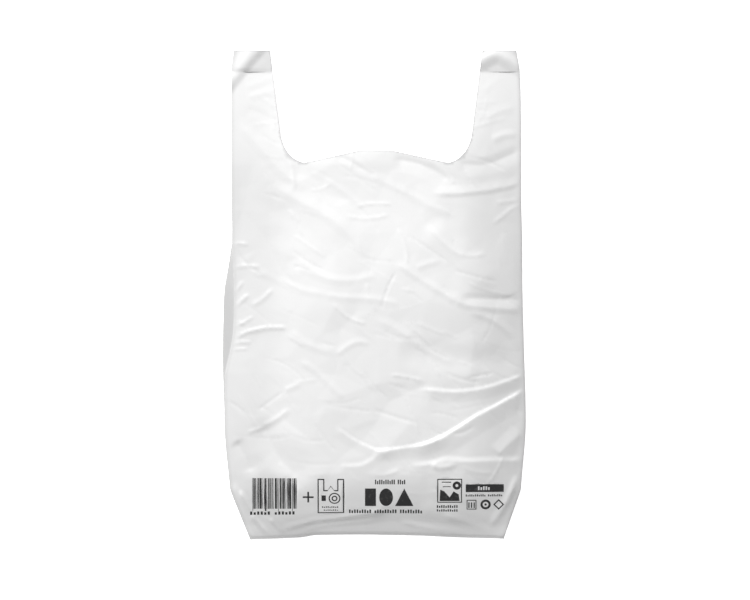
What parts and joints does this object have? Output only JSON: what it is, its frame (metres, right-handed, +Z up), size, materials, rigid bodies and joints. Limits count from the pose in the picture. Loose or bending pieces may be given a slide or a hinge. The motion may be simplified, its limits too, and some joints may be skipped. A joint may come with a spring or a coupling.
{
  "type": "plastic carrier bag",
  "caption": "Vest-type carrier bag of thin white film, empty and lying flat: side gussets, welded bottom, open mouth and two loop handles.",
  "frame": {"origin": "centre of the bag's outline on the surface that it lies on", "axes": "+Y along the bag from the bottom weld to the handles, +X to the right across the front panel, +Z up out of the front panel"},
  "size_m": [0.3097, 0.5, 0.0275],
  "materials": {
    "film": "thin, slightly translucent white polyethylene film with a soft sheen, creased from folding, with a dark grey printed band above the bottom weld"
  },
  "bodies": {
    "root": {"carrier_bag": "film"}
  },
  "joints": []
}
